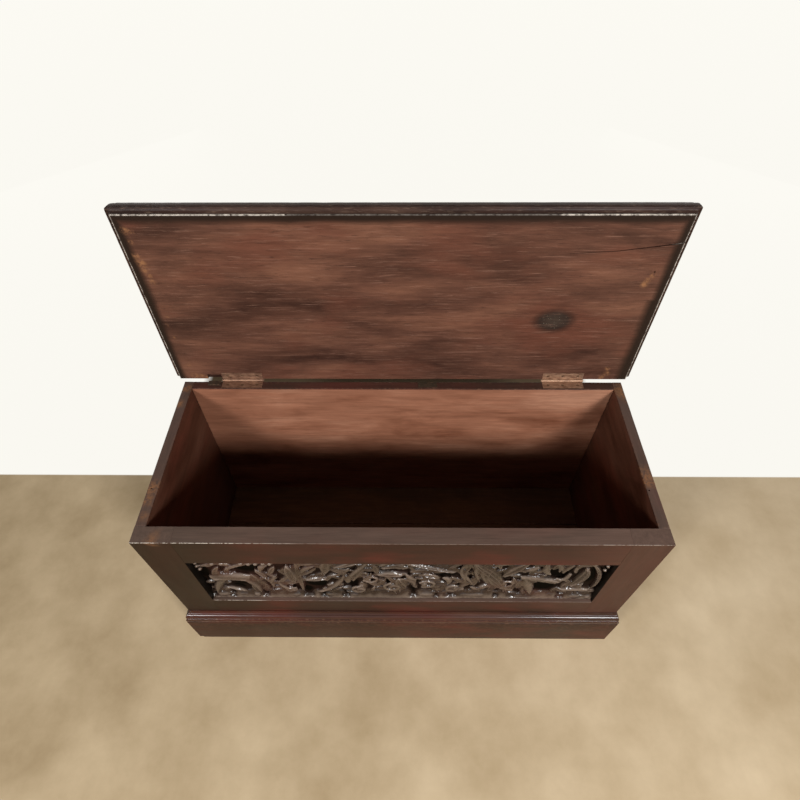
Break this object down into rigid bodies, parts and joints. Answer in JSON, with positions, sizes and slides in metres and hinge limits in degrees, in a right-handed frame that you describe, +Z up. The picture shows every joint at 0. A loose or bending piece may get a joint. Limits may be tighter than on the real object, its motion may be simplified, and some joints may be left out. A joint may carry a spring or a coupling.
{
  "type": "blanket chest",
  "caption": "Wooden blanket chest with a framed carved front panel, moulded plinth and a lid with a moulded edge on butt hinges.",
  "frame": {"origin": "on the floor, under the middle of the chest's box with the lid open", "axes": "+Z up, +X along the chest's width, the carved front faces -Y"},
  "size_m": [1.243, 0.5522, 1.1275],
  "materials": {
    "stained_wood": "dark brown stain under a worn satin varnish",
    "carved_wood": "dark brown stain under a glossy varnish",
    "lid_wood": "reddish brown, thin satin varnish, rubbed edges",
    "bare_wood": "unvarnished, darkened with age",
    "repair_wood": "dull brown filler wood",
    "hinge_brass": "tarnished brass, brown with varnish",
    "screw_brass": "tarnished brass"
  },
  "bodies": {
    "chest": {"front_left_stile": "stained_wood", "front_right_stile": "stained_wood", "front_top_rail": "stained_wood", "front_bottom_rail": "stained_wood", "left_end_board": "stained_wood", "right_end_board": "stained_wood", "back_board": "stained_wood", "plinth_front": "stained_wood", "plinth_left": "stained_wood", "plinth_right": "stained_wood", "base_moulding_front": "stained_wood", "base_moulding_left": "stained_wood", "base_moulding_right": "stained_wood", "bottom_board_1": "bare_wood", "bottom_board_2": "bare_wood", "bottom_board_3": "bare_wood", "front_bearer": "bare_wood", "rear_bearer": "bare_wood", "left_bearer": "bare_wood", "right_bearer": "bare_wood", "front_corner_dowels": "bare_wood", "back_corner_dowels": "bare_wood", "rear_rim_patch": "repair_wood", "rear_rim_filler": "repair_wood", "front_carved_panel": "carved_wood", "left_hinge_body_leaf": "hinge_brass", "right_hinge_body_leaf": "hinge_brass", "left_hinge_pin": "hinge_brass", "right_hinge_pin": "hinge_brass", "hinge_body_screws": "screw_brass"},
    "lid": {"lid_board": "lid_wood", "left_hinge_lid_leaf": "hinge_brass", "right_hinge_lid_leaf": "hinge_brass", "hinge_lid_screws": "screw_brass"}
  },
  "joints": [
    {"name": "lid_hinge", "type": "hinge", "parent": "chest", "child": "lid", "pos_m": [0, 0.21951, 0.62225], "axis": [1, 0, 0], "range_deg": [0, 92]}
  ]
}
